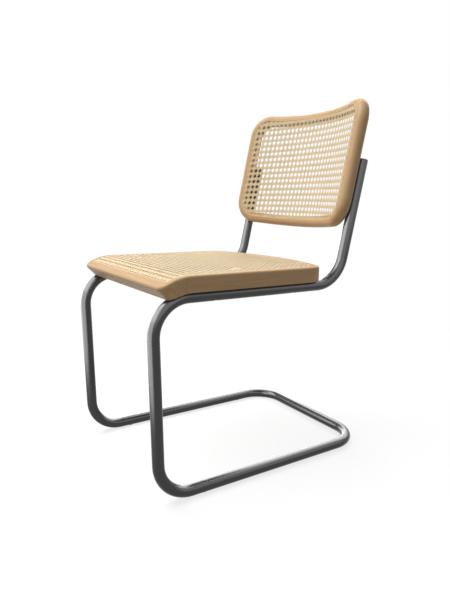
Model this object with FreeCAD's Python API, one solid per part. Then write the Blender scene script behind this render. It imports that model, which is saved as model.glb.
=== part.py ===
import FreeCAD, Part
import math
import os

from FreeCAD import Placement, Rotation, Vector

# Cantilever chair: one bent steel tube carries a caned seat frame and a caned back frame.
# Everything is in millimetres. While it is being built, y = 0 is the centre line of the
# rear floor bar, z = 0 is the floor, x = 0 is the plane of symmetry, and the sitter faces -Y.
# The finished pieces are then moved along Y so that the origin is under the middle of the box.

# Steel tube
tube_diameter = 25.0
tube_wall = 2.0
tube_spacing = 401.5
bend_radius = 75.0
leg_foot_reach = 558.3
leg_forward_lean = 8.1
rail_run = 468.1
rail_front_height = 421.8
rail_fall = 4.2
upright_lean = 12.85
upright_length = 287.2

# Floor glides and the plugs that close the tube's upper ends
glide_diameter = 8.0
glide_proud = 0.5
glide_stem_diameter = 5.0
glide_stem_length = 8.0
glide_front_distance = 455.0
glide_rear_distance = 105.0
plug_cap_thickness = 1.5
plug_cap_inset = 0.6
plug_stem_length = 18.0
plug_clearance = 0.1

# Seat frame: a board that lies on the rails and turns down over the front bends
seat_width = 444.0
seat_thickness = 34.0
seat_groove_depth = 2.0
seat_wrap_angle = 33.0
seat_nose_lead = 7.0
seat_rear_setback = 20.2
seat_rear_bow_radius = 565.0
seat_rear_corner_radius = 40.0
seat_front_corner_radius = 22.0
seat_top_round = 5.0
seat_bottom_round = 2.5
seat_side_rail_width = 48.0
seat_front_rail_width = 67.0
seat_rear_rail_width = 70.0

# Back frame: a D-shaped section, round outside, bent to a cylinder round the sitter
back_thickness = 30.0
back_inner_land = 10.5
back_half_span = 202.4
back_curve_radius = 400.0
back_corner_radius = 46.0
back_bottom_distance = 129.0
back_height = 301.2
back_groove_depth = 0.3

# Cane panels and the splines that hold them
cane_thickness = 1.6
cane_clearance = 0.15
seat_spline_inset = 12.0
seat_spline_front_inset = 21.5
spline_width = 3.0
spline_depth = 6.0
spline_clearance = 0.1
back_gap_columns = 19
back_gap_rows = 15
back_gap_width = 11.0
back_gap_height = 10.0
seat_gap_columns = 12
seat_gap_rows = 9
seat_gap_width = 18.0
seat_gap_length = 18.0

# Dowels, and screws with saddle washers inside the tube and threaded inserts in the wood
seat_dowel_diameter = 8.0
seat_dowel_length = 40.0
seat_dowel_spacing = 16.0
seat_dowel_edge = 10.0
back_dowel_diameter = 6.0
back_dowel_length = 30.0
back_dowel_spacing = 10.0
back_dowel_setback = 2.0
dowel_end_room = 1.0
dowel_chamfer = 1.0
screw_diameter = 6.0
screw_hole_diameter = 7.0
screw_head_diameter = 11.0
screw_head_height = 3.2
screw_head_round = 1.9
insert_diameter = 9.0
insert_length = 15.0
insert_cover = 1.0
screw_thread_in_insert = 13.0
socket_width = 4.0
socket_depth = 2.0
washer_diameter = 12.0
washer_thickness = 3.0
access_hole_diameter = 12.6
seat_screw_distances = (60.0, 255.0)
back_screw_distances = (195.0, 257.0)

fit_clearance = 0.1

# Values that follow from the driving dimensions
tube_radius = tube_diameter / 2
bore_radius = tube_radius - tube_wall
tube_half_spacing = tube_spacing / 2
runner_height = glide_proud + tube_radius
lean = math.radians(upright_lean)
across = Vector(1, 0, 0)

foot_corner = Vector(0, -leg_foot_reach, runner_height)
front_corner = Vector(0, -leg_foot_reach - leg_forward_lean, rail_front_height)
rear_corner = front_corner + Vector(0, rail_run, -rail_fall)
upright_direction = Vector(0, math.sin(lean), math.cos(lean))
upright_top = rear_corner + upright_direction * upright_length
floor_corner = Vector(0, 0, runner_height)


def unit(vector):
    result = Vector(vector)
    result.normalize()
    return result


rail_forward = unit(front_corner - rear_corner)
rail_up = rail_forward.cross(across)
leg_down = unit(foot_corner - front_corner)
front_turn = rail_forward.getAngle(leg_down)
rail_front_end = front_corner - rail_forward * (bend_radius * math.tan(front_turn / 2))
front_bend_centre = rail_front_end - rail_up * bend_radius


def export(shapes, name):
    """Writes one node; a list of solids is a group of identical pieces."""
    shape = Part.makeCompound(shapes) if isinstance(shapes, list) else shapes
    shape.exportStep("parts/" + name + ".step")


def mirrored(shape):
    """The same piece on the sitter's other side."""
    return shape.mirror(Vector(0, 0, 0), across)


def polygon_face(points):
    return Part.Face(Part.makePolygon(points + [points[0]]))


def rounded_path(points, radius):
    """A line through the points with tangent arcs at the inner ones."""
    edges = []
    start = points[0]
    for before, corner, after in zip(points, points[1:], points[2:]):
        towards_before = unit(before - corner)
        towards_after = unit(after - corner)
        half_angle = towards_before.getAngle(towards_after) / 2
        setback = radius / math.tan(half_angle)
        arc_start = corner + towards_before * setback
        arc_end = corner + towards_after * setback
        middle_direction = unit(towards_before + towards_after)
        centre = corner + middle_direction * (radius / math.sin(half_angle))
        edges.append(Part.LineSegment(start, arc_start).toShape())
        edges.append(Part.Arc(arc_start, centre - middle_direction * radius, arc_end).toShape())
        start = arc_end
    edges.append(Part.LineSegment(start, points[-1]).toShape())
    return Part.Wire(edges)


def rod(points, radius, bend):
    """A round bar along a rounded path."""
    path = rounded_path(points, bend)
    section = Part.Face(Part.Wire(Part.makeCircle(radius, points[0], points[1] - points[0])))
    return path.makePipe(section)


def cylinder(start, direction, length, diameter):
    return Part.makeCylinder(diameter / 2, length, start, direction)


def circular_edges(shape):
    return [edge for edge in shape.Edges if edge.Curve.TypeId == "Part::GeomCircle"]


def at_side(point, side):
    """A point of the side view moved to the left (+1) or right (-1) tube."""
    return point + across * (side * tube_half_spacing)


def frame_points():
    side_view = [upright_top, rear_corner, front_corner, foot_corner, floor_corner]
    left = [at_side(point, 1) for point in side_view]
    right = [at_side(point, -1) for point in reversed(side_view)]
    return left + right


def rail_point(distance, side=0):
    """A point on a seat rail's centre line, measured back from the front bend."""
    return at_side(rail_front_end - rail_forward * distance, side)


def upright_point(distance, side=0):
    """A point on an upright's centre line, measured up from the rear corner."""
    return at_side(rear_corner + upright_direction * distance, side)


# Screwed joints between the tube and the wood. Each joint is a point on the tube's centre
# line, the direction towards the wood, and how far the wood's surface is from that line.

def seat_joints():
    return [
        (rail_point(distance, side), rail_up, tube_radius)
        for distance in seat_screw_distances
        for side in (1, -1)
    ]


def back_joints():
    towards_sitter = Vector(0, -math.cos(lean), math.sin(lean))
    surface = tube_radius + back_surface_rise()
    return [
        (upright_point(distance, side), towards_sitter, surface)
        for distance in back_screw_distances
        for side in (1, -1)
    ]


def head_seat(joint):
    """Where a screw's head meets its washer, inside the tube."""
    centre, direction, _ = joint
    return centre + direction * (bore_radius - washer_thickness)


def joint_screw(joint):
    """Button-head screw with a hexagon socket, from inside the tube into the insert."""
    _, direction, surface = joint
    seat = head_seat(joint)
    length = surface + insert_cover + screw_thread_in_insert - bore_radius + washer_thickness
    shank = cylinder(seat, direction, length, screw_diameter)
    base = seat - direction * screw_head_height
    head = cylinder(base, direction, screw_head_height, screw_head_diameter)
    outer_rim = [edge for edge in circular_edges(head)
                 if (edge.Curve.Center - seat).Length > screw_head_height / 2]
    head = head.makeFillet(screw_head_round, outer_rim)
    socket_circle = socket_width / math.sqrt(3)
    basis = Rotation(Vector(0, 0, 1), direction)
    corners = [
        base + basis.multVec(Vector(math.cos(angle), math.sin(angle), 0)) * socket_circle
        for angle in (math.radians(60 * step) for step in range(6))
    ]
    socket = polygon_face(corners).extrude(direction * socket_depth)
    return shank.fuse(head).cut(socket).removeSplitter()


def joint_washer(joint, bore):
    """Saddle washer: flat under the screw's head, and round where it sits in the tube's bore."""
    _, direction, _ = joint
    seat = head_seat(joint)
    disc = cylinder(seat, direction, tube_radius, washer_diameter)
    hole = cylinder(seat, direction, tube_radius, screw_hole_diameter)
    return disc.common(bore).cut(hole)


def joint_insert(joint):
    """Threaded sleeve sunk in the wood."""
    centre, direction, surface = joint
    start = centre + direction * (surface + insert_cover)
    sleeve = cylinder(start, direction, insert_length, insert_diameter)
    return sleeve.cut(cylinder(start, direction, insert_length, screw_diameter + 2 * fit_clearance))


def joint_holes_in_tube(joint):
    """The screw's hole towards the wood, and a wider one opposite that lets screw and washer in."""
    centre, direction, _ = joint
    screw_hole = cylinder(centre, direction, tube_diameter, screw_hole_diameter)
    access_hole = cylinder(centre, direction * -1, tube_diameter, access_hole_diameter)
    return [screw_hole, access_hole]


def joint_hole_in_wood(joint):
    centre, direction, surface = joint
    bore = cylinder(centre, direction, surface + insert_cover + fit_clearance, screw_hole_diameter)
    start = centre + direction * (surface + insert_cover - fit_clearance)
    pocket_length = insert_length + 2 * fit_clearance
    pocket = cylinder(start, direction, pocket_length, insert_diameter + 2 * fit_clearance)
    return bore.fuse(pocket)


def dowel(centre, direction, diameter, length):
    pin = cylinder(centre - direction * (length / 2), direction, length, diameter)
    return pin.makeChamfer(dowel_chamfer, circular_edges(pin))


def dowel_bore(centre, direction, diameter, length):
    reach = length / 2 + dowel_end_room
    return cylinder(centre - direction * reach, direction, 2 * reach, diameter + 2 * fit_clearance)


# Tube frame

def glide_joints():
    """Contact points under the runners, one for each glide."""
    joints = {}
    for place, distance in (("front", glide_front_distance), ("rear", glide_rear_distance)):
        for name, side in (("left", 1), ("right", -1)):
            joints["glide_" + place + "_" + name] = Vector(side * tube_half_spacing, -distance, 0)
    return joints


def glide(contact):
    """Low plastic button under a runner, with a stem pushed into the tube."""
    up = Vector(0, 0, 1)
    crown = cylinder(contact, up, tube_radius, glide_diameter)
    runner_start = contact + Vector(0, -glide_diameter, runner_height)
    runner = cylinder(runner_start, Vector(0, 1, 0), 2 * glide_diameter, tube_diameter)
    stem = cylinder(contact, up, glide_proud + glide_stem_length, glide_stem_diameter)
    return crown.cut(runner).fuse(stem).removeSplitter()


def frame_tube():
    points = frame_points()
    tube = rod(points, tube_radius, bend_radius)
    cuts = [rod(points, bore_radius, bend_radius)]
    for joint in seat_joints() + back_joints():
        cuts += joint_holes_in_tube(joint)
    stem_hole_diameter = glide_stem_diameter + 2 * fit_clearance
    for contact in glide_joints().values():
        cuts.append(cylinder(contact, Vector(0, 0, 1), runner_height, stem_hole_diameter))
    return tube.cut(cuts)


def upright_plug(side):
    """Flat cap on the tube's cut end with a stem inside it."""
    end = at_side(upright_top, side)
    cap = cylinder(end, upright_direction, plug_cap_thickness, tube_diameter - 2 * plug_cap_inset)
    stem_start = end - upright_direction * plug_stem_length
    stem_diameter = 2 * (bore_radius - plug_clearance)
    stem = cylinder(stem_start, upright_direction, plug_stem_length, stem_diameter)
    return cap.fuse(stem).removeSplitter()


# Seat frame

seat_underside = tube_radius - seat_groove_depth
seat_top = seat_underside + seat_thickness


def seat_rear_y():
    """The rearmost point of the seat's bowed edge."""
    return rear_corner.y - seat_rear_setback


def wrapped(angle, height):
    """A point at a height over the tube's centre line, turned forward round the front bend."""
    radial = rail_up * math.cos(angle) + rail_forward * math.sin(angle)
    return front_bend_centre + radial * (bend_radius + height)


def height_over_tube(point):
    """How far a point lies over the seat rails' and front bends' centre line."""
    flat = Vector(0, point.y, point.z)
    ahead = (flat - rail_front_end).dot(rail_forward)
    if ahead <= 0:
        return (flat - rail_front_end).dot(rail_up)
    return (flat - front_bend_centre).Length - bend_radius


def seat_end_angle(front_inset=0.0):
    """How far round the front bend the top reaches, drawn in by an inset from the nose."""
    return math.radians(seat_wrap_angle) + (seat_nose_lead - front_inset) / (bend_radius + seat_top)


def seat_slab(inset, front_inset, low, high, undercut=0.0):
    """The seat's outline between two heights over the tube's centre line.

    It is drawn in by one inset at the sides and rear and by another at the front. The front
    end is square to the top, or slants back below it by the undercut, an angle of the bend.
    """
    half_width = seat_width / 2 - inset
    top_angle = seat_end_angle(front_inset)
    end_angles = {low: top_angle - undercut, high: top_angle}
    points = {height: rail_point(rail_run) + rail_up * height for height in (low, high)}
    edges = []
    for height, end_angle in end_angles.items():
        start = rail_front_end + rail_up * height
        middle = wrapped(end_angle / 2, height)
        edges.append(Part.LineSegment(points[height], start).toShape())
        edges.append(Part.Arc(start, middle, wrapped(end_angle, height)).toShape())
    nose_low = wrapped(end_angles[low], low)
    nose_high = wrapped(end_angles[high], high)
    edges.append(Part.LineSegment(nose_low, nose_high).toShape())
    edges.append(Part.LineSegment(points[low], points[high]).toShape())
    side_view = Part.Face(Part.Wire(Part.__sortEdges__(edges)))
    side_view.translate(across * -half_width)
    slab = side_view.extrude(across * (2 * half_width))

    slab = slab.common(seat_plan(half_width, inset).extrude(Vector(0, 0, 2 * rail_front_height)))
    front_radius = seat_front_corner_radius - inset
    return slab.cut([
        front_corner_waste(half_width, nose_low, nose_high, front_radius, side) for side in (1, -1)
    ])


def seat_plan(half_width, inset):
    """The seat seen from above: straight sides, and a bowed rear edge with round corners."""
    corner_radius = seat_rear_corner_radius - inset
    bow_radius = seat_rear_bow_radius - inset
    bow_centre_y = seat_rear_y() - seat_rear_bow_radius
    corner_x = half_width - corner_radius
    corner_y = bow_centre_y + math.sqrt((bow_radius - corner_radius) ** 2 - corner_x ** 2)
    towards_corner = math.atan2(corner_y - bow_centre_y, corner_x)

    def bow_point(angle):
        return Vector(bow_radius * math.cos(angle), bow_centre_y + bow_radius * math.sin(angle), 0)

    def corner_point(side):
        angle = towards_corner / 2
        x = corner_x + corner_radius * math.cos(angle)
        return Vector(side * x, corner_y + corner_radius * math.sin(angle), 0)

    front_y = front_corner.y - bend_radius
    right_front = Vector(-half_width, front_y, 0)
    left_front = Vector(half_width, front_y, 0)
    left_rear = Vector(half_width, corner_y, 0)
    right_rear = Vector(-half_width, corner_y, 0)
    bow_left = bow_point(towards_corner)
    bow_right = bow_point(math.pi - towards_corner)
    outline = [
        Part.LineSegment(right_front, left_front),
        Part.LineSegment(left_front, left_rear),
        Part.Arc(left_rear, corner_point(1), bow_left),
        Part.Arc(bow_left, bow_point(math.pi / 2), bow_right),
        Part.Arc(bow_right, corner_point(-1), right_rear),
        Part.LineSegment(right_rear, right_front),
    ]
    return Part.Face(Part.Wire([curve.toShape() for curve in outline]))


def front_corner_waste(half_width, nose_low, nose_high, radius, side):
    """What a round front corner leaves of its square corner, along the slanted front end."""
    upwards = unit(nose_high - nose_low)
    ahead = across.cross(upwards)
    outward = across * side
    start = nose_low - upwards * seat_thickness
    centre = start + outward * (half_width - radius) - ahead * radius
    far_side = outward * (2 * radius)
    far_front = ahead * (2 * radius)
    square = [centre, centre + far_side, centre + far_side + far_front, centre + far_front]
    height = 3 * seat_thickness
    block = polygon_face(square).extrude(upwards * height)
    return block.cut(cylinder(centre, upwards, height, 2 * radius))


def rim_edges(slab, height):
    """The edges round a slab's upper or lower face, without the line where its flat part ends."""
    chosen = []
    for edge in slab.Edges:
        first, last = edge.FirstParameter, edge.LastParameter
        samples = [edge.valueAt(value) for value in (first, (first + last) / 2, last)]
        on_face = all(abs(height_over_tube(sample) - height) < 0.01 for sample in samples)
        seam = all(abs((sample - rail_front_end).dot(rail_forward)) < 0.01 for sample in samples)
        if on_face and not seam:
            chosen.append(edge)
    return chosen


def tube_grooves():
    """What the wood gives way to, beside the tube."""
    side_view = [upright_top, rear_corner, front_corner, foot_corner]
    return [
        rod([at_side(point, side) for point in side_view], tube_radius + fit_clearance, bend_radius)
        for side in (1, -1)
    ]


def seat_opening():
    """The hole under the cane, from the front rail to the rear rail."""
    half_width = seat_width / 2 - seat_side_rail_width
    front_y = seat_front_joint_y()
    rear_y = seat_rear_joint_y()
    size = (2 * half_width, rear_y - front_y, rail_front_height)
    return Part.makeBox(*size, Vector(-half_width, front_y, rail_front_height - seat_thickness))


def seat_front_joint_y():
    return wrapped(seat_end_angle(seat_front_rail_width), seat_top).y


def seat_rear_joint_y():
    return seat_rear_y() - seat_rear_rail_width


def seat_middle_point(x, y):
    """A point half way through the seat frame's thickness."""
    on_rail = rail_point((rail_front_end.y - y) / rail_forward.y)
    middle = on_rail + rail_up * ((seat_underside + seat_top) / 2)
    return Vector(x, y, middle.z)


def seat_dowels_along():
    """The front rail's dowels run into the ends of the side rails, the rear rail's into their flanks."""
    inner = seat_width / 2 - seat_side_rail_width
    places = []
    for side in (1, -1):
        middle = side * (inner + seat_side_rail_width / 2)
        for step in (-seat_dowel_spacing / 2, seat_dowel_spacing / 2):
            places.append((seat_middle_point(middle + step, seat_front_joint_y()), rail_forward))
        first = seat_rear_joint_y() + seat_dowel_edge
        for y in (first, first + seat_dowel_spacing):
            places.append((seat_middle_point(side * inner, y), across))
    return places


def seat_frame():
    """Front, rear, left and right rails, cut from one shaped board."""
    undercut = seat_end_angle() - math.radians(seat_wrap_angle)
    board = seat_slab(0, 0, seat_underside, seat_top, undercut)
    board = board.makeFillet(seat_top_round, rim_edges(board, seat_top))
    board = board.makeFillet(seat_bottom_round, rim_edges(board, seat_underside))

    over = seat_top + cane_thickness
    groove_floor = seat_top - spline_depth - spline_clearance
    groove = inset_slab(0, groove_floor, over).cut(inset_slab(spline_width, seat_underside, over + 1))
    rebate = inset_slab(spline_width, seat_top - cane_thickness, over)
    cuts = [seat_opening(), groove, rebate] + tube_grooves()
    cuts += [joint_hole_in_wood(joint) for joint in seat_joints()]
    for place, along in seat_dowels_along():
        cuts.append(dowel_bore(place, along, seat_dowel_diameter, seat_dowel_length))
    board = board.cut(cuts)

    inner = seat_width / 2 - seat_side_rail_width
    front_y = seat_front_joint_y()
    rear_y = seat_rear_joint_y()
    far = leg_foot_reach + rail_run
    tall = 2 * rail_front_height
    zones = {
        "seat_front_rail": Part.makeBox(2 * far, far, tall, Vector(-far, front_y - far, 0)),
        "seat_rear_rail": Part.makeBox(2 * inner, far, tall, Vector(-inner, rear_y, 0)),
        "seat_left_rail": Part.makeBox(far, far, tall, Vector(inner, front_y, 0)),
        "seat_right_rail": Part.makeBox(far, far, tall, Vector(-inner - far, front_y, 0)),
    }
    return {name: largest_solid(board.common(zone)) for name, zone in zones.items()}


def largest_solid(shape):
    return max(shape.Solids, key=lambda solid: solid.Volume)


def inset_slab(inset, low, high):
    """A slab inside the outer edge of the spline's groove, drawn in by an inset."""
    return seat_slab(seat_spline_inset + inset, seat_spline_front_inset + inset, low, high)


def seat_cane():
    """Sheet of cane inside the spline's groove, with its open gaps over the frame's opening."""
    sheet = largest_solid(inset_slab(spline_width + cane_clearance, seat_top - cane_thickness, seat_top))
    opening_width = seat_width - 2 * seat_side_rail_width
    column_step = opening_width / seat_gap_columns
    row_step = (seat_rear_joint_y() - seat_front_joint_y()) / seat_gap_rows
    gaps = []
    for column in range(seat_gap_columns):
        x = (column + 0.5) * column_step - opening_width / 2
        for row in range(seat_gap_rows):
            y = seat_front_joint_y() + (row + 0.5) * row_step
            middle = seat_middle_point(x, y)
            half_wide = across * (seat_gap_width / 2)
            half_long = rail_forward * (seat_gap_length / 2)
            corners = [
                middle - half_wide - half_long,
                middle + half_wide - half_long,
                middle + half_wide + half_long,
                middle - half_wide + half_long,
            ]
            gaps.append(polygon_face(corners).extrude(rail_up * seat_thickness))
    return largest_solid(sheet.cut(gaps))


def seat_spline():
    outer = inset_slab(spline_clearance, seat_top - spline_depth, seat_top)
    inner = inset_slab(spline_width - spline_clearance, seat_underside, seat_top + 1)
    return largest_solid(outer.cut(inner))


# Back frame, in its own axes: x across, z up along the uprights from the rear corner, and
# y backwards, square to the uprights. The uprights' centre lines are at y = 0.

back_placement = Placement(rear_corner, Rotation(across, -upright_lean))
back_half_thickness = back_thickness / 2
back_reach = math.hypot(back_curve_radius, back_corner_radius)
back_reach_angle = math.atan2(back_corner_radius, back_curve_radius)
back_end_angle = math.asin(back_half_span / back_reach) - back_reach_angle
back_tangent = Vector(math.cos(back_end_angle), -math.sin(back_end_angle), 0)
back_normal = Vector(-math.sin(back_end_angle), -math.cos(back_end_angle), 0)


def back_stile_line():
    """Where the left stile's centre line stands, so that its groove sits on the tube."""
    stand_off = tube_radius + back_half_thickness - back_groove_depth
    beside = Vector(back_half_span - tube_half_spacing, 0, 0).dot(back_normal)
    forward = (stand_off - beside) / math.cos(back_end_angle)
    return Vector(back_half_span, -forward, 0)


stile_line = back_stile_line()
arc_end = stile_line - back_tangent * back_corner_radius
back_axis = Vector(0, arc_end.y - back_curve_radius * math.cos(back_end_angle), 0)


def back_surface_rise():
    """Gap between tube and stile, measured straight forward of the tube's centre line."""
    stand_off = tube_radius - back_groove_depth
    return stand_off / math.cos(back_end_angle) - tube_radius


def back_section(outline, place, outward, front):
    """A section face; outline pairs are distances outward and forward of the section's centre."""
    return polygon_face([place + outward * out + front * ahead for out, ahead in outline])


def back_ring(make_section, low_z, high_z):
    """The pieces of a closed ring that follows the back's curve and its round corners.

    make_section(place, outward, front) gives the face that is turned or pushed along. The
    ring's corners are halved, so a rail and a stile meet on the diagonal of each corner.
    """
    up = Vector(0, 0, 1)
    turn = math.degrees(back_end_angle)
    pieces = {}
    for name, level, outward in (("top", high_z, up), ("bottom", low_z, up * -1)):
        centre_level = level - outward.z * back_corner_radius
        start = arc_end + up * level
        section = make_section(start, outward, back_normal)
        arc = section.revolve(back_axis, up, 2 * turn)
        corner_axis = arc_end + up * centre_level
        half_corner = section.revolve(corner_axis, back_normal, -45 * outward.z)
        pieces["rail_" + name] = arc.fuse([half_corner, mirrored(half_corner)])
        side_start = stile_line + up * centre_level
        side_section = make_section(side_start, back_tangent, back_normal)
        pieces["corner_" + name] = side_section.revolve(corner_axis, back_normal, 45 * outward.z)
    height = high_z - low_z - 2 * back_corner_radius
    foot = stile_line + up * (low_z + back_corner_radius)
    bar = make_section(foot, back_tangent, back_normal).extrude(up * height)
    stile = bar.fuse([pieces.pop("corner_top"), pieces.pop("corner_bottom")])
    return {
        "top_rail": pieces["rail_top"].removeSplitter(),
        "bottom_rail": pieces["rail_bottom"].removeSplitter(),
        "left_stile": stile.removeSplitter(),
        "right_stile": mirrored(stile).removeSplitter(),
    }


back_low_z = back_bottom_distance + back_half_thickness
back_high_z = back_low_z + back_height - back_thickness


def frame_section(place, outward, front):
    """Round outside, flat inside, with the spline's groove and the cane's rebate in front."""
    groove_floor = back_half_thickness - spline_depth - spline_clearance
    rebate_floor = back_half_thickness - cane_thickness
    corners = [
        (0, back_half_thickness),
        (0, groove_floor),
        (-spline_width, groove_floor),
        (-spline_width, rebate_floor),
        (-back_inner_land, rebate_floor),
        (-back_inner_land, -back_half_thickness),
        (0, -back_half_thickness),
    ]
    points = [place + outward * out + front * ahead for out, ahead in corners]
    edges = [Part.LineSegment(first, second).toShape() for first, second in zip(points, points[1:])]
    edges.append(Part.Arc(points[-1], place + outward * back_half_thickness, points[0]).toShape())
    return Part.Face(Part.Wire(edges))


def spline_section(place, outward, front):
    top = back_half_thickness
    bottom = back_half_thickness - spline_depth
    near = -spline_clearance
    far = spline_clearance - spline_width
    return back_section([(near, top), (near, bottom), (far, bottom), (far, top)], place, outward, front)


def back_dowels_along():
    """Two dowels across each mitred corner, one behind the other in the frame's thickness."""
    places = []
    up = Vector(0, 0, 1)
    low = back_low_z + back_corner_radius
    high = back_high_z - back_corner_radius
    for level, sign in ((low, -1), (high, 1)):
        centre = arc_end + up * level
        outward = unit(back_tangent + up * sign)
        along = unit(back_tangent - up * sign)
        middle = centre + outward * (back_corner_radius + back_half_thickness / 2 - back_inner_land / 2)
        for step in (-back_dowel_spacing / 2, back_dowel_spacing / 2):
            left = middle + back_normal * (step - back_dowel_setback)
            places.append((left, along))
            places.append((Vector(-left.x, left.y, left.z), Vector(-along.x, along.y, along.z)))
    return places


def to_chair(shape):
    """Moves a shape from the back's own axes into the chair's."""
    moved = shape.copy()
    moved.Placement = back_placement.multiply(moved.Placement)
    return moved


def back_frame():
    cuts = tube_grooves() + [joint_hole_in_wood(joint) for joint in back_joints()]
    for place, along in back_dowels_along():
        cuts.append(to_chair(dowel_bore(place, along, back_dowel_diameter, back_dowel_length)))
    pieces = back_ring(frame_section, back_low_z, back_high_z)
    return {"back_" + name: largest_solid(to_chair(piece).cut(cuts)) for name, piece in pieces.items()}


def back_spline():
    pieces = list(back_ring(spline_section, back_low_z, back_high_z).values())
    return to_chair(pieces[0].fuse(pieces[1:]).removeSplitter())


def sheet_box(start, width_direction, width, height):
    """A flat plate of cane: width along one direction, height upwards, thickness backwards."""
    up = Vector(0, 0, 1)
    end = start + width_direction * width
    outline = [start, end, end + up * height, start + up * height]
    return polygon_face(outline).extrude(back_normal * -cane_thickness)


def back_cane():
    """Curved sheet of cane with its open gaps, inside the spline's groove."""
    up = Vector(0, 0, 1)
    edge = spline_width + cane_clearance
    radius = back_corner_radius - edge
    low = back_low_z + edge
    high = back_high_z - edge
    face_offset = back_normal * back_half_thickness

    front_edge = arc_end + face_offset
    front_face = [front_edge + up * low, front_edge + up * high]
    rear_face = [point - back_normal * cane_thickness for point in reversed(front_face)]
    sector_face = polygon_face(front_face + rear_face)
    sheet = sector_face.revolve(back_axis, up, 2 * math.degrees(back_end_angle))
    side = sheet_box(front_edge + up * (low + radius), back_tangent, radius, high - low - 2 * radius)
    parts = [side]
    for level, sign in ((low + radius, -1), (high - radius, 1)):
        centre = front_edge + up * level
        disc_side = polygon_face([
            centre,
            centre + back_tangent * radius,
            centre + back_tangent * radius - back_normal * cane_thickness,
            centre - back_normal * cane_thickness,
        ])
        parts.append(disc_side.revolve(centre, back_normal, 90 * sign))
    sheet = sheet.fuse(parts + [mirrored(part) for part in parts]).removeSplitter()

    arc_length = back_curve_radius * back_end_angle
    half_length = arc_length + radius
    column_step = 2 * half_length / (back_gap_columns + 1)
    row_step = (high - low) / (back_gap_rows + 1)
    gaps = []
    for column in range(back_gap_columns):
        along = (column + 1) * column_step - half_length
        angle = max(-back_end_angle, min(back_end_angle, along / back_curve_radius))
        beyond = along - angle * back_curve_radius
        normal = Vector(-math.sin(angle), -math.cos(angle), 0)
        tangent = Vector(math.cos(angle), -math.sin(angle), 0)
        centre = back_axis - normal * (back_curve_radius - back_half_thickness) + tangent * beyond
        for row in range(back_gap_rows):
            middle = centre + up * (low + (row + 1) * row_step)
            half_wide = tangent * (back_gap_width / 2)
            half_high = up * (back_gap_height / 2)
            start = middle + normal * cane_thickness
            corners = [
                start - half_wide - half_high,
                start + half_wide - half_high,
                start + half_wide + half_high,
                start - half_wide + half_high,
            ]
            gaps.append(polygon_face(corners).extrude(normal * (-3 * cane_thickness)))
    return to_chair(largest_solid(sheet.cut(gaps)))


def build():
    bore = rod(frame_points(), bore_radius, bend_radius)
    nodes = {"frame_tube": frame_tube()}
    nodes["upright_plug_left"] = upright_plug(1)
    nodes["upright_plug_right"] = upright_plug(-1)
    for name, contact in glide_joints().items():
        nodes[name] = glide(contact)
    nodes.update(seat_frame())
    nodes["seat_dowels"] = [
        dowel(place, along, seat_dowel_diameter, seat_dowel_length)
        for place, along in seat_dowels_along()
    ]
    nodes["seat_cane"] = seat_cane()
    nodes["seat_spline"] = seat_spline()
    nodes.update(back_frame())
    nodes["back_dowels"] = [
        to_chair(dowel(place, along, back_dowel_diameter, back_dowel_length))
        for place, along in back_dowels_along()
    ]
    nodes["back_cane"] = back_cane()
    nodes["back_spline"] = back_spline()
    for place, joints in (("seat", seat_joints()), ("back", back_joints())):
        nodes[place + "_screws"] = [joint_screw(joint) for joint in joints]
        nodes[place + "_inserts"] = [joint_insert(joint) for joint in joints]
        nodes[place + "_saddle_washers"] = [joint_washer(joint, bore) for joint in joints]
    return nodes


def centred(nodes):
    """Moves every piece so that the origin lies under the middle of the whole box."""
    whole = Part.makeCompound([solid for shape in nodes.values()
                               for solid in (shape if isinstance(shape, list) else [shape])])
    box = whole.optimalBoundingBox(False, False)
    move = Vector(-(box.XMin + box.XMax) / 2, -(box.YMin + box.YMax) / 2, -box.ZMin)
    for name, shape in nodes.items():
        for solid in shape if isinstance(shape, list) else [shape]:
            solid.translate(move)
    print("moved by", round(move.x, 3), round(move.y, 3), round(move.z, 3))
    print("box", round(box.XLength, 2), round(box.YLength, 2), round(box.ZLength, 2))
    return nodes


def main():
    os.makedirs("parts", exist_ok=True)
    nodes = centred(build())
    for name, shape in nodes.items():
        export(shape, name)
    return nodes


chair = main()
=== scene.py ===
import math
import random

import bpy
from mathutils import Matrix, Vector


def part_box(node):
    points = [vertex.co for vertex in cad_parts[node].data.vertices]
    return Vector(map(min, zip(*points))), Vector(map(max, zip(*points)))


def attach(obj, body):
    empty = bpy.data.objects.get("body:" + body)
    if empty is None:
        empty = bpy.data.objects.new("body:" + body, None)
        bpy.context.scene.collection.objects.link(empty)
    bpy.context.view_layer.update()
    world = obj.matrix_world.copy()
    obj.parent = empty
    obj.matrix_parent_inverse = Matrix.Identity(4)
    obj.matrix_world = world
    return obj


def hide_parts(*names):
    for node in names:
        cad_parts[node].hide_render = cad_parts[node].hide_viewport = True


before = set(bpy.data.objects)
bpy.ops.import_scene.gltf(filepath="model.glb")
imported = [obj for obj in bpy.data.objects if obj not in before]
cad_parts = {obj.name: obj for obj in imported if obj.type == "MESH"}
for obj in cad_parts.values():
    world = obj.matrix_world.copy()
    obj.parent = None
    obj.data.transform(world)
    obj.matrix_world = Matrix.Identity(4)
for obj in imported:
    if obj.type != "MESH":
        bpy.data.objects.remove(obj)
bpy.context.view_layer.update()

# Everything is in metres in the row frame: z = 0 is the floor, the sitter faces -Y, and x = 0
# is the plane of symmetry. Sizes that a drawing of the chair would give are in millimetres
# and are multiplied by MM.

MM = 0.001

# Steel tube
tube_radius = 12.5 * MM
bend_radius = 75.0 * MM
rail_run = 468.1 * MM
rail_fall = 4.2 * MM
leg_foot_reach = 558.3 * MM
leg_forward_lean = 8.1 * MM
rail_front_height = 421.8 * MM
runner_height = 13.0 * MM
upright_lean = math.radians(12.85)

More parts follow.
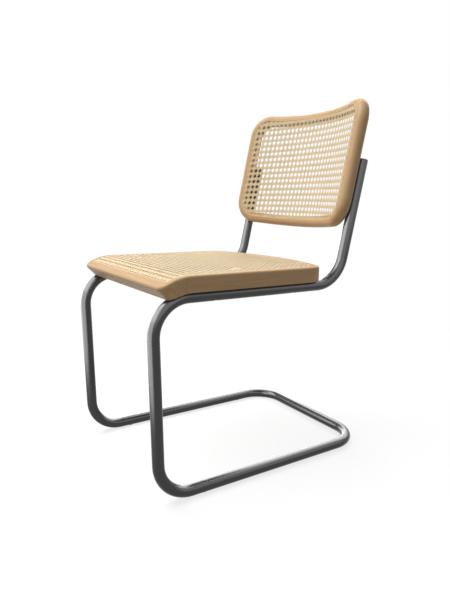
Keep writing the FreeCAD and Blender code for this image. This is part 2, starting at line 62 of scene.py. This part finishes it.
# Seat
seat_width = 444.0 * MM
seat_thickness = 34.0 * MM
seat_groove_depth = 2.0 * MM
seat_wrap_angle = math.radians(33.0)
seat_nose_lead = 7.0 * MM
seat_rear_setback = 20.2 * MM
seat_rear_bow_radius = 565.0 * MM
seat_rear_corner_radius = 40.0 * MM
seat_front_corner_radius = 22.0 * MM
seat_spline_inset = 12.0 * MM
seat_spline_front_inset = 21.5 * MM

# Back
back_half_thickness = 15.0 * MM
back_half_span = 202.4 * MM
back_curve_radius = 400.0 * MM
back_corner_radius = 46.0 * MM
back_bottom_distance = 129.0 * MM
back_height = 301.2 * MM
back_groove_depth = 0.3 * MM
tube_half_spacing = 200.75 * MM

# Cane and reed
spline_width = 3.0 * MM
cane_clearance = 0.15 * MM
cane_middle_depth = 1.08 * MM
back_mesh_across = 13.87 * MM
back_mesh_up = 15.27 * MM
back_first_column = -2.2 * MM
back_first_row = 165.8 * MM
back_row_arch = 0.32
seat_mesh_across = 13.9 * MM
seat_mesh_along = 14.6 * MM
strand_thickness = 0.36 * MM
back_diagonal_width = 2.15 * MM
back_upright_width = 1.6 * MM
back_level_width = 2.5 * MM
seat_diagonal_width = 3.0 * MM
seat_lengthwise_width = 2.8 * MM
seat_crosswise_width = 3.7 * MM
shortest_strand = 3.0 * MM
strand_steps_per_mesh = 6
gap_in_pair = 0.2 * MM
weave_rise = 0.16 * MM
diagonal_rise = 0.28 * MM
reed_side_gap = 0.05 * MM
reed_recess = 0.2 * MM
reed_crown = 0.5 * MM
reed_underside = 3.0 * MM
fibre_length = 40.0 * MM

# Light
floor_bounce = 0.3
floor_shade = 0.3
floor_lift = 0.76
shadow_reach = 0.7
white_from = 1.5
ambient_level = 0.26

# Camera: lens and place solved from the tube's and the seat's outlines in the photograph
camera_lens = 31.788
camera_sensor_height = 36.0
camera_right_of_middle = 1.0903
camera_before_floor_bar = 0.97063
camera_height = 0.60438
camera_yaw = math.radians(57.57)
camera_pitch = math.radians(-10.6)
camera_roll = math.radians(0.34)

floor_bar_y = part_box("frame_tube")[1].y - tube_radius
root = "root"


def unit(vector):
    return vector.normalized()


ACROSS = Vector((1, 0, 0))
foot_corner = Vector((0, floor_bar_y - leg_foot_reach, runner_height))
front_corner = Vector((0, foot_corner.y - leg_forward_lean, rail_front_height))
rear_corner = front_corner + Vector((0, rail_run, -rail_fall))
rail_forward = unit(front_corner - rear_corner)
rail_up = rail_forward.cross(ACROSS)
leg_down = unit(foot_corner - front_corner)
front_turn = rail_forward.angle(leg_down)
rail_front_end = front_corner - rail_forward * (bend_radius * math.tan(front_turn / 2))
front_bend_centre = rail_front_end - rail_up * bend_radius
seat_top = tube_radius - seat_groove_depth + seat_thickness

upright_direction = Vector((0, math.sin(upright_lean), math.cos(upright_lean)))
back_direction = Vector((0, math.cos(upright_lean), -math.sin(upright_lean)))


# Surfaces that the cane follows. Each maps a flat drawing of the panel (u across, v along)
# to a place on the chair, with the direction that faces the sitter.

class SeatSurface:
    """u runs across the seat, v runs back from the end of the front bend along the top.

    Insets are measured from the outer edge of the reed's groove.
    """

    radius = bend_radius + seat_top

    def place(self, u, v, depth):
        if v >= 0:
            normal = rail_up
            base = rail_front_end - rail_forward * v + rail_up * seat_top
        else:
            angle = -v / self.radius
            normal = rail_up * math.cos(angle) + rail_forward * math.sin(angle)
            base = front_bend_centre + normal * self.radius
        return base + ACROSS * u - normal * depth, normal

    def inside(self, u, v, inset):
        inset += seat_spline_inset
        half_width = seat_width / 2 - inset
        nose = -self.radius * seat_wrap_angle - seat_nose_lead
        front = nose + seat_spline_front_inset - seat_spline_inset + inset
        rear_y = rear_corner.y - seat_rear_setback
        point, _ = self.place(u, max(v, 0.0), 0.0)
        if abs(u) > half_width or v < front:
            return False
        corner = seat_rear_corner_radius - inset
        bow = seat_rear_bow_radius - inset
        bow_y = rear_y - seat_rear_bow_radius
        corner_x = half_width - corner
        corner_y = bow_y + math.sqrt((bow - corner) ** 2 - corner_x ** 2)
        x = abs(u)
        y = point.y
        if math.hypot(x, y - bow_y) > bow and y > bow_y:
            return False
        towards_corner = math.atan2(corner_y - bow_y, corner_x)
        beyond = math.atan2(y - corner_y, x - corner_x)
        if x > corner_x and y > corner_y and beyond < towards_corner:
            return math.hypot(x - corner_x, y - corner_y) <= corner
        front_corner_size = seat_front_corner_radius - inset
        cx = half_width - front_corner_size
        cv = front + front_corner_size
        if x > cx and v < cv:
            return math.hypot(x - cx, v - cv) <= front_corner_size
        return True


class BackSurface:
    """u runs along the curved front, v runs up the uprights from the rear corner."""

    def __init__(self):
        reach = math.hypot(back_curve_radius, back_corner_radius)
        straight_angle = math.atan2(back_corner_radius, back_curve_radius)
        self.end_angle = math.asin(back_half_span / reach) - straight_angle
        self.end_normal = Vector((-math.sin(self.end_angle), -math.cos(self.end_angle)))
        self.end_tangent = Vector((math.cos(self.end_angle), -math.sin(self.end_angle)))
        stand_off = tube_radius + back_half_thickness - back_groove_depth
        beside = (back_half_span - tube_half_spacing) * self.end_normal.x
        forward = (stand_off - beside) / math.cos(self.end_angle)
        arc_end = Vector((back_half_span, -forward)) - self.end_tangent * back_corner_radius
        self.axis_y = arc_end.y - back_curve_radius * math.cos(self.end_angle)
        self.radius = back_curve_radius - back_half_thickness
        self.half_length = self.radius * self.end_angle + back_corner_radius
        self.low = back_bottom_distance + back_half_thickness
        self.high = self.low + back_height - 2 * back_half_thickness

    def place(self, u, v, depth):
        angle = max(-self.end_angle, min(self.end_angle, u / self.radius))
        beyond = u - angle * self.radius
        normal = Vector((-math.sin(angle), -math.cos(angle)))
        tangent = Vector((math.cos(angle), -math.sin(angle)))
        flat = Vector((0, self.axis_y)) - normal * (self.radius + depth) + tangent * beyond
        point = rear_corner + ACROSS * flat.x + back_direction * flat.y + upright_direction * v
        return point, ACROSS * normal.x + back_direction * normal.y

    def inside(self, u, v, inset):
        half = self.half_length - inset
        low = self.low + inset
        high = self.high - inset
        if abs(u) > half or not low <= v <= high:
            return False
        corner = back_corner_radius - inset
        x = abs(u) - (half - corner)
        y = max(low + corner - v, v - (high - corner))
        return x < 0 or y < 0 or math.hypot(x, y) <= corner


seat_surface = SeatSurface()
back_surface = BackSurface()


def cane_piece(name, vertices, faces, rounded, along):
    """A piece of cane. rounded says which faces are shaded smooth, and along gives each vertex
    its place across the strand, its place along the fibre and the strand's tone."""
    mesh = bpy.data.meshes.new(name)
    mesh.from_pydata(vertices, [], faces)
    mesh.update()
    fibre = mesh.attributes.new("fibre", "FLOAT_VECTOR", "POINT")
    fibre.data.foreach_set("vector", [value for triple in along for value in triple])
    mesh.polygons.foreach_set("use_smooth", rounded)
    piece = bpy.data.objects.new(name, mesh)
    bpy.context.scene.collection.objects.link(piece)
    return piece


# Woven cane: pairs of strands across and along, and single strands on both diagonals

def signed_from_line(value, first, pitch):
    """Distance to the nearest line of a row of evenly spaced lines."""
    return (value - first + pitch / 2) % pitch - pitch / 2


def bump(distance, offset):
    """1 over a strand at +offset, -1 at -offset, and 0 away from the pair."""
    if abs(distance) >= 2 * offset:
        return 0.0
    return math.sin(math.pi * distance / (2 * offset))


class Weave:
    """A woven panel. Its rows may sag towards both ends by arch times the distance squared.

    The widths are those of the strands that run along v, along u and on the diagonals.
    """

    def __init__(self, surface, pitch_u, pitch_v, first_u, first_v, arch, widths, inset, seed):
        self.surface = surface
        self.arch = arch
        self.width_v, self.width_u, self.width_diagonal = widths
        self.pitch_u = pitch_u
        self.pitch_v = pitch_v
        self.first_u = first_u
        self.first_v = first_v
        self.inset = inset
        self.random = random.Random(seed)
        self.vertices = []
        self.faces = []
        self.rounded = []
        self.along = []

    def sagged(self, start, direction, travel):
        """A place on a strand of the drawing, and the same place with the panel's arch."""
        u = start[0] + direction[0] * travel
        v = start[1] + direction[1] * travel
        return u, v, v - self.arch * u * u

    def stretch_inside(self, start, direction, reach):
        """The stretch of a strand that lies inside the panel."""
        step = 0.5 * MM
        inside = []
        for number in range(int(2 * reach / step) + 1):
            travel = number * step - reach
            u, _, v = self.sagged(start, direction, travel)
            if self.surface.inside(u, v, self.inset):
                inside.append(travel)
        if not inside:
            return 0.0, 0.0, 0.0
        return inside[0], inside[-1], len(inside) * step

    def strand(self, start, direction, reach, width, height, spacing):
        """One flat strand along a line of the drawing; height gives its rise at each place.

        Its crowned top is shaded smooth, and its underside and ends are flat.
        """
        low, high, length = self.stretch_inside(start, direction, reach)
        if length < shortest_strand:
            return
        tint = self.random.random()
        width *= self.random.uniform(0.94, 1.05)
        lift = self.random.uniform(-0.03, 0.03) * MM
        count = max(2, int(round((high - low) / spacing)))
        half = width / 2
        section = [
            (-half, 0.0),
            (-half * 0.55, strand_thickness * 0.48),
            (half * 0.55, strand_thickness * 0.48),
            (half, 0.0),
            (0.0, -strand_thickness * 0.5),
        ]
        first = len(self.vertices)
        for step in range(count + 1):
            t = low + (high - low) * step / count
            u, v, sagged_v = self.sagged(start, direction, t)
            depth = cane_middle_depth - height(u, v) - lift
            point, normal = self.surface.place(u, sagged_v, depth)
            ahead_u, _, ahead_v = self.sagged(start, direction, t + 0.2 * MM)
            ahead, _ = self.surface.place(ahead_u, ahead_v, depth)
            side = unit(unit(ahead - point).cross(normal))
            for out, up in section:
                self.vertices.append(point + side * out + normal * up)
                self.along.append((out / half, t / fibre_length, tint))
        size = len(section)
        for step in range(count):
            for corner in range(size):
                following = (corner + 1) % size
                base = first + step * size
                self.faces.append((
                    base + corner, base + size + corner, base + size + following, base + following))
                self.rounded.append(corner < 3)
        self.faces.append(tuple(first + corner for corner in range(size)))
        last = first + count * size
        self.faces.append(tuple(last + corner for corner in reversed(range(size))))
        self.rounded += [False, False]

    def lines(self, low, high, first, pitch):
        number = math.ceil((low - first) / pitch)
        while first + number * pitch <= high:
            yield first + number * pitch
            number += 1

    def build(self, name, low_u, high_u, low_v, high_v):
        reach = high_u - low_u + high_v - low_v
        pitch_u = self.pitch_u
        pitch_v = self.pitch_v
        offset_v = (self.width_v + gap_in_pair) / 2
        offset_u = (self.width_u + gap_in_pair) / 2
        for line in self.lines(low_u - pitch_u, high_u + pitch_u, self.first_u, pitch_u):
            for side in (-1, 1):
                self.strand(
                    (line + side * offset_v, 0.0), (0.0, 1.0), reach, self.width_v,
                    lambda u, v, side=side: -side * weave_rise * bump(
                        signed_from_line(v, self.first_v, pitch_v), offset_u),
                    pitch_v / strand_steps_per_mesh)
        for line in self.lines(low_v - pitch_v, high_v + pitch_v, self.first_v, pitch_v):
            for side in (-1, 1):
                self.strand(
                    (0.0, line + side * offset_u), (1.0, 0.0), reach, self.width_u,
                    lambda u, v, side=side: side * weave_rise * bump(
                        signed_from_line(u, self.first_u, pitch_u), offset_v),
                    pitch_u / strand_steps_per_mesh)
        length = math.hypot(pitch_u, pitch_v)
        for slope in (-1, 1):
            direction = (pitch_u / length, slope * pitch_v / length)
            crossings = int(2 * reach / pitch_v)
            for number in range(-crossings, crossings + 1):
                start = (self.first_u, self.first_v + (number + 0.5) * pitch_v)
                self.strand(
                    start, direction, reach, self.width_diagonal,
                    lambda u, v, slope=slope: slope * diagonal_rise * math.cos(
                        2 * math.pi * (u - self.first_u) / pitch_u),
                    length / strand_steps_per_mesh)
        return cane_piece(name, self.vertices, self.faces, self.rounded, self.along)


# Reed spline: a rod with a low crown, pressed in the groove round each panel

def outline_points(surface, inset, spacing):
    """Points round the panel's edge in the flat drawing, found outwards from its middle."""
    if surface is seat_surface:
        centre = (0.0, 190 * MM)
    else:
        centre = (0.0, (surface.low + surface.high) / 2)
    points = []
    directions = 1440
    halvings = 26
    for step in range(directions):
        angle = 2 * math.pi * step / directions
        du = math.cos(angle)
        dv = math.sin(angle)
        low = 0.0
        high = 0.5
        for _ in range(halvings):
            middle = (low + high) / 2
            if surface.inside(centre[0] + du * middle, centre[1] + dv * middle, inset):
                low = middle
            else:
                high = middle
        points.append((centre[0] + du * low, centre[1] + dv * low))
    kept = [points[0]]
    for point in points[1:]:
        if math.dist(point, kept[-1]) >= spacing:
            kept.append(point)
    if math.dist(kept[0], kept[-1]) < spacing / 2:
        kept.pop()
    return kept


def reed(name, surface):
    """A closed rod along the groove's middle line, with a low crown and a flat underside."""
    half = spline_width / 2 - reed_side_gap
    edge = reed_recess + reed_crown
    shoulder = reed_recess + reed_crown * 0.4
    top = reed_recess + reed_crown * 0.05
    section = [
        (-half, reed_underside),
        (-half, edge),
        (-half * 0.72, shoulder),
        (-half * 0.3, top),
        (half * 0.3, top),
        (half * 0.72, shoulder),
        (half, edge),
        (half, reed_underside),
    ]
    path = outline_points(surface, spline_width / 2, 2.5 * MM)
    vertices = []
    faces = []
    along = []
    size = len(section)
    count = len(path)
    travelled = 0.0
    for number, (u, v) in enumerate(path):
        before = path[number - 1]
        after = path[(number + 1) % count]
        du = after[0] - before[0]
        dv = after[1] - before[1]
        length = math.hypot(du, dv)
        out_u = dv / length
        out_v = -du / length
        travelled += math.dist(before, (u, v))
        for out, depth in section:
            point, _ = surface.place(u + out_u * out, v + out_v * out, depth)
            vertices.append(point)
            along.append((out / half, travelled / fibre_length, 0.5))
    for number in range(count):
        base = number * size
        ahead = ((number + 1) % count) * size
        for corner in range(size):
            following = (corner + 1) % size
            faces.append((base + corner, base + following, ahead + following, ahead + corner))
    return cane_piece(name, vertices, faces, [True] * len(faces), along)


# Materials

def new_material(name):
    material = bpy.data.materials.new(name)
    material.use_nodes = True
    nodes = material.node_tree.nodes
    nodes.clear()
    output = nodes.new("ShaderNodeOutputMaterial")
    shader = nodes.new("ShaderNodeBsdfPrincipled")
    material.node_tree.links.new(shader.outputs["BSDF"], output.inputs["Surface"])
    return material, nodes, material.node_tree.links, shader


def linear(red, green, blue):
    """A display colour from 0 to 255 as the linear colour a shader takes."""
    def channel(value):
        share = value / 255
        return share / 12.92 if share <= 0.04045 else ((share + 0.055) / 1.055) ** 2.4
    return channel(red), channel(green), channel(blue), 1.0


def noise(nodes, scale, detail, roughness):
    texture = nodes.new("ShaderNodeTexNoise")
    texture.inputs["Scale"].default_value = scale
    texture.inputs["Detail"].default_value = detail
    texture.inputs["Roughness"].default_value = roughness
    return texture


def ramp(nodes, stops):
    node = nodes.new("ShaderNodeValToRGB")
    elements = node.color_ramp.elements
    for element, (place, colour) in zip(elements, (stops[0], stops[-1])):
        element.position = place
        element.color = colour
    for place, colour in stops[1:-1]:
        elements.new(place).color = colour
    return node


def grey(value):
    return (value, value, value, 1.0)


def add_relief(nodes, links, shader, height, strength, distance):
    """A fine bump on the shader's normal from a texture's height."""
    relief = nodes.new("ShaderNodeBump")
    relief.inputs["Strength"].default_value = strength
    relief.inputs["Distance"].default_value = distance
    links.new(height, relief.inputs["Height"])
    links.new(relief.outputs["Normal"], shader.inputs["Normal"])


def multiplied(nodes, links, colour, shade, share):
    node = nodes.new("ShaderNodeMix")
    node.data_type = "RGBA"
    node.blend_type = "MULTIPLY"
    node.inputs["Factor"].default_value = share
    links.new(colour, node.inputs["A"])
    links.new(shade, node.inputs["B"])
    return node.outputs["Result"]


def steel_material(name, base, roughness):
    """Satin steel: even colour, faint drawing marks in its roughness and its surface."""
    material, nodes, links, shader = new_material(name)
    shader.inputs["Base Color"].default_value = base
    shader.inputs["Metallic"].default_value = 1.0
    place = nodes.new("ShaderNodeTexCoord")
    texture = noise(nodes, 900.0, 3.0, 0.6)
    links.new(place.outputs["Object"], texture.inputs["Vector"])
    spread = ramp(nodes, [(0.3, grey(roughness - 0.03)), (0.7, grey(roughness + 0.04))])
    links.new(texture.outputs["Fac"], spread.inputs["Fac"])
    links.new(spread.outputs["Color"], shader.inputs["Roughness"])
    add_relief(nodes, links, shader, texture.outputs["Fac"], 0.04, 0.2 * MM)
    return material


def plastic_material(name, colour):
    material, nodes, links, shader = new_material(name)
    shader.inputs["Base Color"].default_value = colour
    shader.inputs["Roughness"].default_value = 0.6
    place = nodes.new("ShaderNodeTexCoord")
    texture = noise(nodes, 1500.0, 2.0, 0.5)
    links.new(place.outputs["Object"], texture.inputs["Vector"])
    add_relief(nodes, links, shader, texture.outputs["Fac"], 0.15, 0.2 * MM)
    return material


def wood_material(name, grain_axis, offset, curved=False):
    """Beech: long soft streaks and short dark flecks along the grain."""
    material, nodes, links, shader = new_material(name)
    place = nodes.new("ShaderNodeTexCoord")
    vector = place.outputs["Object"]
    if curved:
        vector = bent_coordinates(nodes, links, vector)
    stretch = nodes.new("ShaderNodeMapping")
    stretch.inputs["Location"].default_value = offset
    stretch.inputs["Scale"].default_value = [0.06 if axis == grain_axis else 1.0 for axis in "XYZ"]
    links.new(vector, stretch.inputs["Vector"])
    streaks = noise(nodes, 120.0, 4.0, 0.55)
    streaks.inputs["Distortion"].default_value = 0.4
    broad = noise(nodes, 22.0, 2.0, 0.5)
    flecks = noise(nodes, 650.0, 2.0, 0.5)
    for texture in (streaks, broad, flecks):
        links.new(stretch.outputs["Vector"], texture.inputs["Vector"])
    colour = ramp(nodes, [
        (0.25, linear(197, 157, 110)),
        (0.5, linear(209, 172, 127)),
        (0.78, linear(219, 184, 140)),
    ])
    links.new(streaks.outputs["Fac"], colour.inputs["Fac"])
    tone = ramp(nodes, [(0.3, grey(0.93)), (0.7, grey(1.03))])
    links.new(broad.outputs["Fac"], tone.inputs["Fac"])
    toned = multiplied(nodes, links, colour.outputs["Color"], tone.outputs["Color"], 1.0)
    fleck = ramp(nodes, [(0.62, grey(1.0)), (0.72, grey(0.86))])
    links.new(flecks.outputs["Fac"], fleck.inputs["Fac"])
    flecked = multiplied(nodes, links, toned, fleck.outputs["Color"], 0.6)
    links.new(flecked, shader.inputs["Base Color"])
    finish = ramp(nodes, [(0.3, grey(0.42)), (0.7, grey(0.52))])
    links.new(streaks.outputs["Fac"], finish.inputs["Fac"])
    links.new(finish.outputs["Color"], shader.inputs["Roughness"])
    shader.inputs["Specular IOR Level"].default_value = 0.3
    add_relief(nodes, links, shader, streaks.outputs["Fac"], 0.12, 0.3 * MM)
    return material


def bent_coordinates(nodes, links, vector):
    """Coordinates that run along the back's curve: X along it, Y through it and Z up."""
    turn = nodes.new("ShaderNodeMapping")
    turn.vector_type = "TEXTURE"
    turn.inputs["Location"].default_value = rear_corner + back_direction * back_surface.axis_y
    turn.inputs["Rotation"].default_value = (-upright_lean, 0.0, 0.0)
    links.new(vector, turn.inputs["Vector"])
    split = nodes.new("ShaderNodeSeparateXYZ")
    links.new(turn.outputs["Vector"], split.inputs["Vector"])
    angle = nodes.new("ShaderNodeMath")
    angle.operation = "ARCTAN2"
    links.new(split.outputs["X"], angle.inputs[0])
    links.new(split.outputs["Y"], angle.inputs[1])
    along = nodes.new("ShaderNodeMath")
    along.operation = "MULTIPLY"
    along.inputs[1].default_value = back_curve_radius
    links.new(angle.outputs["Value"], along.inputs[0])
    flat = nodes.new("ShaderNodeCombineXYZ")
    links.new(split.outputs["X"], flat.inputs["X"])
    links.new(split.outputs["Y"], flat.inputs["Y"])
    length = nodes.new("ShaderNodeVectorMath")
    length.operation = "LENGTH"
    links.new(flat.outputs["Vector"], length.inputs[0])
    joined = nodes.new("ShaderNodeCombineXYZ")
    links.new(along.outputs["Value"], joined.inputs["X"])
    links.new(length.outputs["Value"], joined.inputs["Y"])
    links.new(split.outputs["Z"], joined.inputs["Z"])
    return joined.outputs["Vector"]


def cane_material(name, dark, middle, light):
    """Split cane: each strand has its own tone, with fine fibres along it and a low gloss."""
    material, nodes, links, shader = new_material(name)
    fibre = nodes.new("ShaderNodeAttribute")
    fibre.attribute_name = "fibre"
    split = nodes.new("ShaderNodeSeparateXYZ")
    links.new(fibre.outputs["Vector"], split.inputs["Vector"])
    stretch = nodes.new("ShaderNodeMapping")
    stretch.inputs["Scale"].default_value = (3.0, 0.8, 97.0)
    links.new(fibre.outputs["Vector"], stretch.inputs["Vector"])
    lines = noise(nodes, 2.0, 3.0, 0.6)
    links.new(stretch.outputs["Vector"], lines.inputs["Vector"])
    tone = nodes.new("ShaderNodeMath")
    tone.operation = "MULTIPLY_ADD"
    tone.inputs[1].default_value = 0.45
    links.new(split.outputs["Z"], tone.inputs[0])
    share = nodes.new("ShaderNodeMath")
    share.operation = "MULTIPLY"
    share.inputs[1].default_value = 0.6
    links.new(lines.outputs["Fac"], share.inputs[0])
    links.new(share.outputs["Value"], tone.inputs[2])
    colour = ramp(nodes, [(0.15, dark), (0.5, middle), (0.85, light)])
    links.new(tone.outputs["Value"], colour.inputs["Fac"])
    links.new(colour.outputs["Color"], shader.inputs["Base Color"])
    shader.inputs["Roughness"].default_value = 0.5
    shader.inputs["Specular IOR Level"].default_value = 0.15
    add_relief(nodes, links, shader, lines.outputs["Fac"], 0.1, 0.2 * MM)
    return material


def dress(node_names, material):
    for name in node_names:
        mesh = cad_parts[name].data
        mesh.materials.clear()
        mesh.materials.append(material)


tube_steel = steel_material("tube_steel", grey(0.046), 0.25)
fastener_steel = steel_material("fastener_steel", grey(0.12), 0.35)
insert_brass = steel_material("insert_brass", linear(196, 158, 92), 0.35)
black_plastic = plastic_material("black_plastic", grey(0.012))
# Seat and back are the same cane. The seat's colours are lighter as painted light: this stands for
# the brighter light falling on the seat's top and lifts the shade seen in its small holes.
seat_strands_painted_light = cane_material(
    "seat_strands_painted_light", linear(232, 207, 165), linear(240, 218, 179), linear(245, 226, 190))
back_strands = cane_material(
    "back_strands", linear(223, 198, 156), linear(231, 209, 169), linear(237, 218, 181))
reed_cane = cane_material(
    "reed_cane", linear(219, 190, 145), linear(232, 206, 163), linear(240, 217, 177))

dress(["frame_tube"], tube_steel)
dress(["seat_screws", "back_screws", "seat_saddle_washers", "back_saddle_washers"], fastener_steel)
dress(["seat_inserts", "back_inserts"], insert_brass)
dress(["upright_plug_left", "upright_plug_right"], black_plastic)
dress(["glide_front_left", "glide_front_right", "glide_rear_left", "glide_rear_right"], black_plastic)
dress(["seat_front_rail"], wood_material("wood_seat_front", "X", (0.0, 0.3, 0.1)))
dress(["seat_rear_rail"], wood_material("wood_seat_rear", "X", (0.4, 0.7, 0.2)))
dress(["seat_left_rail"], wood_material("wood_seat_left", "Y", (0.9, 0.1, 0.3)))
dress(["seat_right_rail"], wood_material("wood_seat_right", "Y", (0.2, 0.5, 0.6)))
dress(["back_top_rail"], wood_material("wood_back_top", "X", (0.1, 0.9, 0.4), curved=True))
dress(["back_bottom_rail"], wood_material("wood_back_bottom", "X", (0.6, 0.2, 0.8), curved=True))
dress(["back_left_stile"], wood_material("wood_back_left", "Z", (0.5, 0.4, 0.9), curved=True))
dress(["back_right_stile"], wood_material("wood_back_right", "Z", (0.8, 0.6, 0.5), curved=True))
dress(["seat_dowels", "back_dowels"], wood_material("wood_dowels", "X", (0.3, 0.8, 0.7)))


# Cane panels and reeds

cane_inset = spline_width + cane_clearance
seat_panel = Weave(
    seat_surface, seat_mesh_across, seat_mesh_along, seat_mesh_across / 2, 0.0, 0.0,
    (seat_lengthwise_width, seat_crosswise_width, seat_diagonal_width), cane_inset, 11)
seat_weave = seat_panel.build("seat_weave", -seat_width / 2, seat_width / 2, -80 * MM, 480 * MM)
seat_weave.data.materials.append(seat_strands_painted_light)
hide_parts("seat_cane")
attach(seat_weave, root)

back_panel = Weave(
    back_surface, back_mesh_across, back_mesh_up, back_first_column, back_first_row, back_row_arch,
    (back_upright_width, back_level_width, back_diagonal_width), cane_inset, 12)
back_weave = back_panel.build(
    "back_weave", -back_surface.half_length, back_surface.half_length,
    back_surface.low, back_surface.high)
back_weave.data.materials.append(back_strands)
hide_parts("back_cane")
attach(back_weave, root)

seat_reed = reed("seat_reed", seat_surface)
seat_reed.data.materials.append(reed_cane)
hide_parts("seat_spline")
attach(seat_reed, root)

back_reed = reed("back_reed", back_surface)
back_reed.data.materials.append(reed_cane)
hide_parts("back_spline")
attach(back_reed, root)


# Floor, backdrop and light

def directly_seen(nodes, links):
    """1 for camera, glossy and transmission rays, and 0 for the rays that light the object."""
    rays = nodes.new("ShaderNodeLightPath")
    total = rays.outputs["Is Camera Ray"]
    for name in ("Is Glossy Ray", "Is Transmission Ray"):
        larger = nodes.new("ShaderNodeMath")
        larger.operation = "MAXIMUM"
        links.new(total, larger.inputs[0])
        links.new(rays.outputs[name], larger.inputs[1])
        total = larger.outputs["Value"]
    return total


def white_stage_material():
    """A pale floor that keeps the shadow near the chair and is plain white farther away."""
    material = bpy.data.materials.new("floor_white")
    material.use_nodes = True
    nodes = material.node_tree.nodes
    links = material.node_tree.links
    nodes.clear()
    output = nodes.new("ShaderNodeOutputMaterial")
    bounce = nodes.new("ShaderNodeBsdfDiffuse")
    bounce.inputs["Color"].default_value = grey(floor_bounce)
    near = nodes.new("ShaderNodeBsdfDiffuse")
    near.inputs["Color"].default_value = grey(floor_shade)
    lift = nodes.new("ShaderNodeEmission")
    lift.inputs["Strength"].default_value = floor_lift
    lifted = nodes.new("ShaderNodeAddShader")
    links.new(near.outputs["BSDF"], lifted.inputs[0])
    links.new(lift.outputs["Emission"], lifted.inputs[1])
    far = nodes.new("ShaderNodeEmission")
    far.inputs["Strength"].default_value = 1.0
    place = nodes.new("ShaderNodeTexCoord")
    distance = nodes.new("ShaderNodeVectorMath")
    distance.operation = "LENGTH"
    links.new(place.outputs["Object"], distance.inputs[0])
    spread = nodes.new("ShaderNodeMapRange")
    spread.interpolation_type = "SMOOTHSTEP"
    spread.inputs["From Min"].default_value = shadow_reach
    spread.inputs["From Max"].default_value = white_from
    links.new(distance.outputs["Value"], spread.inputs["Value"])
    seen = nodes.new("ShaderNodeMixShader")
    links.new(spread.outputs["Result"], seen.inputs["Fac"])
    links.new(lifted.outputs["Shader"], seen.inputs[1])
    links.new(far.outputs["Emission"], seen.inputs[2])
    choose = nodes.new("ShaderNodeMixShader")
    links.new(directly_seen(nodes, links), choose.inputs["Fac"])
    links.new(bounce.outputs["BSDF"], choose.inputs[1])
    links.new(seen.outputs["Shader"], choose.inputs[2])
    links.new(choose.outputs["Shader"], output.inputs["Surface"])
    return material


floor_mesh = bpy.data.meshes.new("floor")
floor_mesh.from_pydata([(-30, -30, 0), (30, -30, 0), (30, 30, 0), (-30, 30, 0)], [], [(0, 1, 2, 3)])
floor = bpy.data.objects.new("floor", floor_mesh)
bpy.context.scene.collection.objects.link(floor)
floor_mesh.materials.append(white_stage_material())

world = bpy.data.worlds.new("studio")
bpy.context.scene.world = world
world.use_nodes = True
world_nodes = world.node_tree.nodes
world_links = world.node_tree.links
world_nodes.clear()
world_output = world_nodes.new("ShaderNodeOutputWorld")
ambient = world_nodes.new("ShaderNodeBackground")
ambient.inputs["Strength"].default_value = ambient_level
white = world_nodes.new("ShaderNodeBackground")
white.inputs["Strength"].default_value = 1.0
for background in (ambient, white):
    background.inputs["Color"].default_value = grey(1.0)
choose = world_nodes.new("ShaderNodeMixShader")
world_links.new(directly_seen(world_nodes, world_links), choose.inputs["Fac"])
world_links.new(ambient.outputs["Background"], choose.inputs[1])
world_links.new(white.outputs["Background"], choose.inputs[2])
world_links.new(choose.outputs["Shader"], world_output.inputs["Surface"])


def area_light(name, place, target, width, height, power):
    data = bpy.data.lights.new(name, "AREA")
    data.shape = "RECTANGLE"
    data.size = width
    data.size_y = height
    data.energy = power
    light = bpy.data.objects.new(name, data)
    light.location = place
    light.rotation_euler = (Vector(target) - Vector(place)).to_track_quat("-Z", "Y").to_euler()
    bpy.context.scene.collection.objects.link(light)
    return light


def tube_light(name, place, target, width, height, power):
    """A soft box that only the steel tube reflects, for the pale streaks along it."""
    light = area_light(name, place, target, width, height, power)
    light.visible_camera = False
    light.light_linking.receiver_collection = steel_pieces
    light.light_linking.blocker_collection = steel_pieces


steel_pieces = bpy.data.collections.new("steel_pieces")
steel_pieces.objects.link(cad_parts["frame_tube"])

area_light("key_light", (-0.7, -1.35, 3.0), (0, 0, 0.4), 2.6, 2.0, 90.0)
area_light("back_light", (-1.3, 1.9, 2.4), (0, 0, 0.4), 2.0, 1.4, 40.0)
tube_light("front_box", (-0.35, -0.75, 0.95), (-0.35, 0.0, 0.95), 1.7, 1.9, 60.0)
tube_light("left_box", (-1.9, 0.6, 0.5), (0.0, 0.2, 0.3), 2.5, 1.0, 45.0)
tube_light("rear_box", (-0.6, 1.6, 1.9), (0.0, 0.0, 0.2), 3.0, 2.6, 140.0)
tube_light("right_box", (2.2, -0.4, 1.6), (0.0, 0.2, 0.7), 3.0, 2.2, 42.0)
tube_light("high_front_box", (-0.1, -1.6, 1.28), (0.0, 0.2, 0.6), 3.0, 0.65, 25.0)
tube_light("corner_box", (1.5, 1.4, 1.3), (0.2, 0.0, 0.45), 1.3, 1.9, 12.0)


# Camera

camera_y = floor_bar_y - camera_before_floor_bar
camera_place = Vector((camera_right_of_middle, camera_y, camera_height))
camera_data = bpy.data.cameras.new("camera")
camera_data.sensor_fit = "VERTICAL"
camera_data.sensor_height = camera_sensor_height
camera_data.lens = camera_lens
camera_data.clip_start = 0.01
camera = bpy.data.objects.new("camera", camera_data)
ahead = Vector((
    -math.sin(camera_yaw) * math.cos(camera_pitch),
    math.cos(camera_yaw) * math.cos(camera_pitch),
    math.sin(camera_pitch),
))
right = unit(ahead.cross(Vector((0, 0, 1))))
up = right.cross(ahead)
camera_right = right * math.cos(camera_roll) + up * math.sin(camera_roll)
camera_up = up * math.cos(camera_roll) - right * math.sin(camera_roll)
turned = Matrix((camera_right, camera_up, -ahead)).transposed().to_4x4()
camera.matrix_world = Matrix.Translation(camera_place) @ turned
bpy.context.scene.collection.objects.link(camera)
bpy.context.scene.camera = camera
bpy.context.scene.view_settings.view_transform = "Standard"
